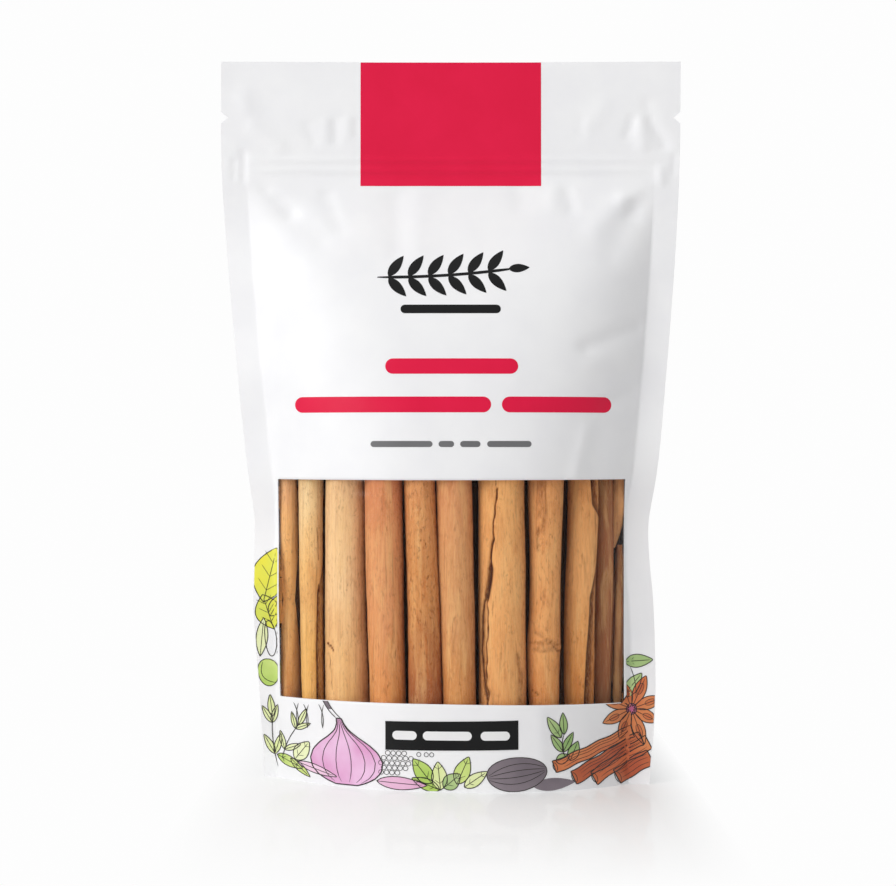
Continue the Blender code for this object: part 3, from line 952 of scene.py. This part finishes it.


# One entry a stick, left to right: tints at its head, middle and foot, how mottled it is, where
# its seam runs as (height share, degrees from the front), the seam's step in millimetres, how dark
# and wide (millimetres) the painted shadow beside the seam is, how far forward it stands, how lumpy
# it is, how it bends (height share, millimetres sideways) and swells (height share, width factor),
# and its marks, cracks and knots darkened partly in their own colour and partly with painted shade:
# a path of (height share, place across from -1 to 1), width, depth and darkness
quillLooks = (
    {"tints": ((250, 190, 136), (252, 192, 118), (206, 134, 68)), "mottle": 0.25,
     "seam": ((0, 80), (1, 95)), "step": 0.3, "bend": ((0, -0.6), (1, -0.3)),
     "swell": ((0, 1.14), (1, 1.1))},
    {"tints": ((255, 222, 168), (250, 196, 124), (244, 186, 100)), "mottle": 0.15,
     "seam": ((0, 22), (0.3, 26), (0.48, 34), (0.6, 70), (1, 85)), "step": 1.1, "shade": (0.5, 2.4),
     "bend": ((0, 0), (0.4, -0.2), (1, 0)), "marks": (
         (((0.0, 0.46), (0.25, 0.44), (0.44, 0.5), (0.52, 0.62)), 0.16, 0.25, 0.9),
         (((0.62, 0.62), (0.74, 0.5)), 0.14, 0.05, 0.5),
     )},
    {"tints": ((248, 204, 152), (255, 212, 158), (244, 188, 122)), "mottle": 0.15,
     "seam": ((0, -85), (1, -100)), "step": 0.4, "bend": ((0, 0), (0.5, -0.2), (1, 0)),
     "swell": ((0, 1.04), (0.5, 1.04), (1, 1.02)), "marks": (
         (((0.3, -0.92), (0.295, -0.72), (0.275, -0.6)), 0.26, 0.25, 0.85),
         (((0.27, -0.86), (0.2, -0.74), (0.13, -0.72)), 0.2, 0.12, 0.35),
     )},
    {"tints": ((226, 144, 98), (236, 164, 110), (226, 146, 80)), "mottle": 0.22,
     "seam": ((0, 100), (1, 86)), "step": 0.4, "bend": ((0, 0), (0.5, -0.3), (1, 0)),
     "swell": ((0, 1.02), (1, 1.02))},
    {"tints": ((230, 160, 102), (218, 150, 88), (170, 98, 56)), "mottle": 0.95,
     "seam": ((0, -92), (1, -84)), "step": 0.4, "lumps": 2.2, "bend": ((0, 0), (0.5, 0.3), (1, 0)),
     "swell": ((0, 1.02), (1, 1.02))},
    {"tints": ((226, 154, 104), (228, 166, 110), (214, 142, 80)), "mottle": 0.25,
     "seam": ((0, 96), (1, 88)), "step": 0.4, "swell": ((0, 1.02), (1, 1.0))},
    {"tints": ((246, 178, 108), (250, 184, 116), (240, 170, 104)), "mottle": 0.22,
     "seam": ((0, -100), (1, -100)), "step": 0.3, "marks": (
         (((1.0, -0.28), (0.905, -0.25)), 0.1, 0.1, 0.8),
         (((0.895, -0.2), (0.8, -0.3), (0.68, -0.4)), 0.2, 0.5, 1.0),
         (((0.7, -0.39), (0.62, -0.47)), 0.34, 0.8, 1.0),
         (((0.61, -0.49), (0.56, -0.56), (0.48, -0.67)), 0.72, 1.1, 1.0),
         (((0.46, -0.76), (0.36, -0.8), (0.22, -0.76), (0.12, -0.66)), 0.8, 0.3, 0.38),
         (((0.5, -0.72), (0.42, -0.84), (0.3, -0.88), (0.22, -0.82), (0.1, -0.68), (0.0, -0.6)),
          0.28, 0.5, 1.0),
         (((0.5, -0.66), (0.4, -0.62), (0.26, -0.66), (0.18, -0.68), (0.1, -0.62)), 0.22, 0.4, 0.9),
         (((0.27, 0.62), (0.2, 0.76), (0.15, 0.74)), 0.6, 0.1, 0.4),
         (((0.2, 0.84), (0.1, 0.74), (0.0, 0.7)), 1.1, 0.05, 0.34),
     )},
    {"tints": ((226, 152, 92), (246, 178, 112), (230, 152, 86)), "mottle": 0.35,
     "seam": ((0, 98), (1, 82)), "step": 0.4,
     "bend": ((0, 0.1), (0.28, -0.3), (0.47, 0), (0.7, 0.1), (1, 0.2)),
     "swell": ((0, 0.92), (0.2, 0.97), (0.28, 1.0), (0.4, 0.93), (0.68, 0.92), (0.85, 1.0), (1, 1.05)),
     "marks": (
         (((0.306, -0.9), (0.312, -0.4), (0.316, 0.1), (0.309, 0.5), (0.304, 0.95)), 0.42, 0.25, 0.42),
         (((0.334, -0.2), (0.324, 0.25), (0.312, 0.7)), 0.4, 0.12, 0.34),
         (((0.3, 0.55), (0.287, 0.75), (0.279, 0.95)), 0.42, 0.3, 0.62),
         (((0.288, -0.6), (0.282, 0.0), (0.286, 0.4)), 0.45, 0.2, 0.34),
         (((0.296, -0.6), (0.294, 0.9)), 1.5, -0.3, 0.18),
         (((0.35, -0.6), (0.338, -0.2)), 0.8, 0.05, 0.22),
         (((1.0, -0.25), (0.88, -0.3), (0.8, -0.25)), 1.3, 0.05, 0.3),
         (((0.9, -0.1), (0.8, -0.05), (0.73, -0.3)), 0.8, 0.05, 0.3),
         (((0.74, -0.5), (0.66, -0.44)), 0.6, 0.1, 0.34),
         (((0.13, -0.7), (0.115, -0.4)), 0.25, 0.1, 0.5),
     )},
    {"tints": ((238, 162, 96), (252, 184, 116), (228, 148, 72)), "mottle": 0.25,
     "seam": ((0, 18), (0.09, 20), (0.26, 26), (0.38, 35), (0.48, 38), (0.6, 72), (0.78, 76), (0.83, 34),
              (0.92, 27), (1, 26)),
     "step": 1.3, "shade": (0.8, 3.0), "bend": ((0, -0.3), (0.5, -0.2), (0.8, 0.3), (1, 0.1)),
     "swell": ((0, 1.08), (1, 1.08))},
    {"tints": ((156, 98, 60), (166, 106, 68), (164, 104, 66)), "mottle": 0.3,
     "seam": ((0, 60), (1, 70)), "step": 0.3, "forward": 1.4,
     "bend": ((0, -0.7), (0.5, 0.1), (1, -0.2)), "swell": ((0, 1.2), (0.5, 1.25), (1, 1.25))},
    {"tints": ((160, 104, 64), (160, 104, 66), (176, 118, 72)), "mottle": 0.35,
     "seam": ((0, -60), (1, -70)), "step": 0.2, "bend": ((0, -0.2), (0.6, 0.5), (1, 1.0)),
     "swell": ((0, 1.35), (0.6, 1.3), (1, 1.0))},
    {"tints": ((250, 182, 120), (132, 84, 52), (132, 84, 52)), "mottle": 0.25,
     "seam": ((0, 80), (1, 80)), "step": 0.2, "bend": ((0, 1.5), (0.4, 1.9), (1, 1.9)),
     "swell": ((0, 1.6), (0.15, 2.6), (0.4, 2.7), (1, 1.8))},
)
quillShape = {
    "front": 100,  # points round the front, finer than at the rear
    "rear": 28,
    "frontTurn": 105,  # degrees to each side
    "rings": 130,
    "roll": (0.5, 0.9),  # how much of the step the roll takes, and over how many radians
    "lumps": ((0.3, 5), (0.5, 1.6), (0.12, 0.7)),  # how stretched along the stick, and size in millimetres
    "groove": (0.25, 0.3),  # depth and width of the seam's groove in millimetres
    # painted shade along the seam's groove: its darkness and width
    "seamShade": (0.75, 0.24),  # darkness, and width in millimetres
    # painted shade towards the sides, setting in between the sideTurn degrees
    "sideShade": (0.30, 0.62),  # darkness towards the left and the right side
    "sideTurn": (34, 88),  # the degrees between which it sets in
    "hollow": 0.62,
    "hollowDepth": 9 * mm,
    # painted shade on the open ends' rims and inside the hollows
    "hollowShade": 0.6,
    "filmGap": 0.45 * mm,
    "frontGap": 0.3 * mm,
    "backGap": 0.9 * mm,
    "reach": 52.9 * mm,
}


def stickAxis(node):
    # centre and radius at the foot and at the head of a stick in the frame
    verts = np.array([v.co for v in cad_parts[node].data.vertices])
    ends = []
    for z in (verts[:, 2].min(), verts[:, 2].max()):
        ring = verts[np.abs(verts[:, 2] - z) < 0.1 * mm]
        centre = (ring.min(0) + ring.max(0)) / 2
        ends.append((centre, (ring[:, 0].max() - ring[:, 0].min()) / 2))
    return ends


def behindFilm(centre, radius, t):
    # the line, straight along the stick, on which it just clears the film in front of it
    swing = np.radians(np.linspace(-80, 80, 33))[None, :]
    x = centre[:, :1] + radius[:, None] * np.sin(swing)
    needed = (frontY(x, np.repeat(centre[:, 2:], x.shape[1], 1)) + radius[:, None] * np.cos(swing)).max(1)
    line = np.polyval(np.polyfit(t, needed, 1), t)
    return line + (needed - line).max() + quillShape["filmGap"]


def markStrength(path, width, t, turns, radius, length):
    # 1 on the mark's path and fading to 0 within its width; t and turns place every point
    x, z = np.sin(turns) * radius, t * length
    spots = [(across * radius.mean(), up * length) for up, across in path]
    nearest = np.min([awayFrom(x, z, *a, *b) for a, b in zip(spots, spots[1:])], axis=0)
    return np.exp(-((nearest / (width * mm)) ** 2)) * (np.cos(turns) > 0)


def insidePouch(points):
    # points that would pass through the film or into a side seal stop just before it
    x = np.clip(points[..., 0], -quillShape["reach"], quillShape["reach"])
    z = points[..., 2]
    y = np.maximum(points[..., 1], frontY(x, z) + quillShape["frontGap"])
    return np.stack([x, np.minimum(y, backY(x, z) - quillShape["backGap"]), z], -1)


def quillMesh(foot, head, radii, look, seed):
    # a rolled quill: radius by turn and height, with a seam, marks and lumps, and open ends;
    # also how dark each point is, from its marks and from painted shade at the seam, the sides and the
    # hollow ends
    rings = quillShape["rings"]
    t = np.linspace(0, 1, rings)
    half = math.radians(quillShape["frontTurn"])
    turn = np.concatenate([
        np.linspace(-half, half, quillShape["front"], endpoint=False),
        np.linspace(half, 2 * math.pi - half, quillShape["rear"], endpoint=False),
    ])
    around = len(turn)
    centre = foot + (head - foot) * t[:, None]
    centre[:, 0] += along(look.get("bend", ((0, 0), (1, 0))), t) * mm
    radius = (radii[0] + (radii[1] - radii[0]) * t) * along(look.get("swell", ((0, 1), (1, 1))), t)
    centre[:, 1] = np.maximum(centre[:, 1] - look.get("forward", 0) * mm, behindFilm(centre, radius, t))
    seam = np.radians(np.interp(t, *np.array(look["seam"], float).T))  # 0 faces -Y, positive turns to +X
    angle = turn[None, :] - math.pi / 2
    seamTurn = (turn[None, :] - seam[:, None]) % (2 * math.pi)
    wide = radius[:, None]
    direction = np.stack([np.cos(angle), np.sin(angle), np.zeros_like(angle)], -1)
    here = centre[:, None, :] + direction * wide[..., None]
    takes, spread = quillShape["roll"]
    r = wide - look["step"] * mm * takes * np.exp(-seamTurn / spread)
    rises = (0.030 * wide, 0.06 * mm * look.get("lumps", 1.0), 0.05 * mm)
    for i, (rise, (stretched, size)) in enumerate(zip(rises, quillShape["lumps"])):
        r = r + rise * cloudNoise(here * (1, 1, stretched) + seed, size * mm, seed + i)
    fromSeam = np.minimum(seamTurn, 2 * math.pi - seamTurn) * wide
    grooveDepth, grooveWidth = (v * mm for v in quillShape["groove"])
    r = r - grooveDepth * np.exp(-((fromSeam / grooveWidth) ** 2))
    # painted shade along the seam's groove
    dark, width = quillShape["seamShade"]
    marksAndShade = dark * np.exp(-((fromSeam / (width * mm)) ** 2))
    # painted shadow on the lower layer just past the seam's step
    shade, reach = look.get("shade", (0.35, 0.9))
    marksAndShade = marksAndShade + shade * np.exp(-((seamTurn * wide / (reach * mm)) ** 2))
    # painted shade towards the stick's sides, darker on the right
    away = ramp(np.abs(turn), *np.radians(quillShape["sideTurn"])) ** 1.5 * (np.abs(turn) < 1.9)
    marksAndShade = np.maximum(marksAndShade, np.where(turn > 0, *quillShape["sideShade"][::-1]) * away)
    length = np.linalg.norm(head - foot)
    waver = 0.5 * mm * cloudNoise(here, 2.4 * mm, seed + 3)
    # marks carve cracks and knots in; their darkness is partly the bark's own colour and partly painted
    # shade in the cracks
    for path, width, depth, dark in look.get("marks", ()):
        strength = markStrength(path, width, t[:, None] + waver / length, turn + waver / wide, wide, length)
        r = r - depth * mm * strength
        marksAndShade = np.maximum(marksAndShade, dark * strength)
    r = np.maximum(r, wide * 0.5)
    outer = centre[:, None, :] + direction * r[..., None]
    deep = np.minimum(quillShape["hollowDepth"], 2 * radius) / length * (rings - 1)
    lowRim = centre[0] + direction[0] * (r[0] * quillShape["hollow"])[:, None]
    highRim = centre[-1] + direction[0] * (r[-1] * quillShape["hollow"])[:, None]
    lowIn = lowRim + (centre[1] - centre[0]) * deep[0]
    highIn = highRim - (centre[-1] - centre[-2]) * deep[-1]
    loops = insidePouch(np.stack([lowIn, lowRim, *outer, highRim, highIn]))
    # painted shade on the open ends' rims and inside the hollows
    ends = np.full((2, around), quillShape["hollowShade"])
    dark = np.clip(np.concatenate([ends, marksAndShade, ends]), 0, 1)
    return loops.reshape(-1, 3), tubeFaces(len(loops), around), dark.reshape(-1)


def buildSticks():
    for number, look in enumerate(quillLooks, start=1):
        node = f"stick_{number:02d}"
        (foot, footRadius), (head, headRadius) = stickAxis(node)
        bark = barkMaterial(f"bark {number}", look, number)
        points, faces, dark = quillMesh(foot, head, (footRadius, headRadius), look, number)
        quill = meshPiece(f"quill_{number:02d}", points, faces, [bark], crease=60, marksAndShade=dark)
        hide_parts(node)
        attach(quill, "root")
    print("sticks rolled:", len(quillLooks))


buildSticks()

coreLook = {
    # painted shade: the sticks behind are coloured as deep shade for the gaps between the sticks in front
    "tint": srgb(62, 33, 12),
    "deep": srgb(30, 15, 6),
    "fibres": (1400, 1400, 60),
    "roughness": 0.9,
    "specular": 0.1,
    "bump": 0.5,
    "count": 12,
    "reach": 48 * mm,
    "halfWidth": 4.8 * mm,
    "behind": 9.7 * mm,
    "share": 0.62,
    "backGap": 1.2 * mm,
    "thinnest": 0.4 * mm,
    "endGap": 1 * mm,
    "rings": 12,
    "around": 24,
}


def buildCore():
    # the sticks behind, coloured as painted shade, which show only as dark bark in the gaps and flatten
    # towards the sides
    bark, tree, shader = newMaterial("bark behind in painted shade")
    fibres = noiseNode(tree, coreLook["fibres"], 4, 0.6)
    lines = mapRange(tree, fibres, 0.35, 0.65)
    feed(tree, shader, {
        "Base Color": mixColour(tree, lines, coreLook["tint"], coreLook["deep"]),
        "Roughness": coreLook["roughness"],
        "Specular IOR Level": coreLook["specular"],
        "Normal": bumpNode(tree, fibres, coreLook["bump"], 0.3 * mm),
    })
    low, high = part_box("stick_01")
    rings, around, wide = coreLook["rings"], coreLook["around"], coreLook["halfWidth"]
    z = np.linspace(low[2] + coreLook["endGap"], high[2] - coreLook["endGap"], rings)[:, None]
    turn = np.linspace(0, 2 * math.pi, around + 1)[None, :-1]
    points, faces = [], []
    for i, x in enumerate(np.linspace(-coreLook["reach"], coreLook["reach"], coreLook["count"])):
        outward = x + math.copysign(0.7 * wide, x)
        room = backY(x, z) - frontY(x, z)
        front = frontY(x, z) + np.minimum(coreLook["behind"], coreLook["share"] * room)
        deep = np.clip((backY(outward, z) - coreLook["backGap"] - front) / 2, coreLook["thinnest"], wide)
        loops = np.broadcast_arrays(x + wide * np.cos(turn), front + deep * (1 + np.sin(turn)), z)
        points.append(insidePouch(np.stack(loops, -1)).reshape(-1, 3))
        faces += tubeFaces(rings, around, i * rings * around)
    core = meshPiece("sticksBehind", np.concatenate(points), faces, [bark])
    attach(core, "root")


buildCore()

studio = {
    "floorSize": 6.0,
    "floorColour": (0.93, 0.93, 0.93, 1),
    "floorRoughness": 0.55,
    "floorShade": (0.30, 0.80),  # from the left end of the pack's shade to its right end
    "shadeAcross": (-0.060, 0.045),
    "shadeDeep": (-0.185, -0.036),
    "shadeSides": (0.059, 0.074),
    "floorMirror": 0.16,
    "mirrorRoughness": 0.06,
    "white": 0.985,
    "worldStrength": 0.465,
    "keyPower": 13.2,
    "keyPlace": (-1.25, -1.02, 0.75),
    "keySize": 0.9,
    "topPower": 3.0,
    "topPlace": (-0.2, -0.3, 1.3),
    "topSize": 0.9,
    "lampTarget": (0, 0, 0.1),
    "cameraPlace": (-0.0008, -0.75, 0.1028),
    "lens": 98.8,
    "sensor": 36,
}


def areaLamp(name):
    data = bpy.data.lights.new(name, "AREA")
    data.shape = "SQUARE"
    data.size = studio[name + "Size"]
    data.energy = studio[name + "Power"]
    lamp = bpy.data.objects.new(name, data)
    bpy.context.scene.collection.objects.link(lamp)
    lamp.location = studio[name + "Place"]
    aim = Vector(studio["lampTarget"]) - lamp.location
    lamp.rotation_euler = aim.to_track_quat("-Z", "Y").to_euler()


def buildWorld():
    world = bpy.data.worlds.new("studio")
    bpy.context.scene.world = world
    world.use_nodes = True
    tree = world.node_tree
    rays = addNode(tree, "LightPath").outputs
    seen = rays["Is Camera Ray"]
    for ray in ("Is Glossy Ray", "Is Transmission Ray"):
        seen = mathNode(tree, "MAXIMUM", seen, rays[ray])
    strength = mapRange(tree, seen, 0, 1, studio["worldStrength"], studio["white"])
    feed(tree, tree.nodes["Background"], {"Color": (1, 1, 1, 1), "Strength": strength})


def buildFloor():
    # pale floor that the camera sees as white, apart from a painted shade in front of the pack: a mask,
    # deeper to the right, lets the floor's lit shading show there
    bpy.ops.mesh.primitive_plane_add(size=studio["floorSize"], location=(0, 0, 0))
    floor = bpy.context.object
    floor.name = "floor"
    made, tree, shader = newMaterial("floor")
    floor.data.materials.append(made)
    feed(tree, shader, {"Base Color": studio["floorColour"], "Roughness": studio["floorRoughness"]})
    place = objectPlace(tree)
    # painted shade: deeper towards the right, fading to the front and at the sides
    shade = mapRange(tree, place["X"], *studio["shadeAcross"], *studio["floorShade"])
    deep = mapRange(tree, place["Y"], *studio["shadeDeep"])
    sides = mapRange(tree, mathNode(tree, "ABSOLUTE", place["X"]), *studio["shadeSides"], 1, 0)
    for part in (deep, sides):
        shade = mathNode(tree, "MULTIPLY", shade, part)
    cameraRay = addNode(tree, "LightPath").outputs["Is Camera Ray"]
    seen = mathNode(tree, "MULTIPLY", cameraRay, mapRange(tree, shade, 0, 1, 1, 0))
    glow = addNode(tree, "Emission", {"Color": (1, 1, 1, 1), "Strength": studio["white"]})
    mirror = addNode(tree, "BsdfGlossy", {"Roughness": studio["mirrorRoughness"]})
    mixed = mixShader(tree, seen, mixShader(tree, studio["floorMirror"], shader, mirror), glow)
    feed(tree, tree.nodes["Material Output"], {0: mixed.outputs[0]})


def buildCamera():
    data = bpy.data.cameras.new("camera")
    data.lens = studio["lens"]
    data.sensor_width = studio["sensor"]
    camera = bpy.data.objects.new("camera", data)
    bpy.context.scene.collection.objects.link(camera)
    camera.location = studio["cameraPlace"]
    camera.rotation_euler = (math.pi / 2, 0, 0)
    bpy.context.scene.camera = camera


areaLamp("key")
areaLamp("top")
buildWorld()
buildFloor()
buildCamera()
bpy.context.scene.view_settings.view_transform = "Standard"
print("studio set")
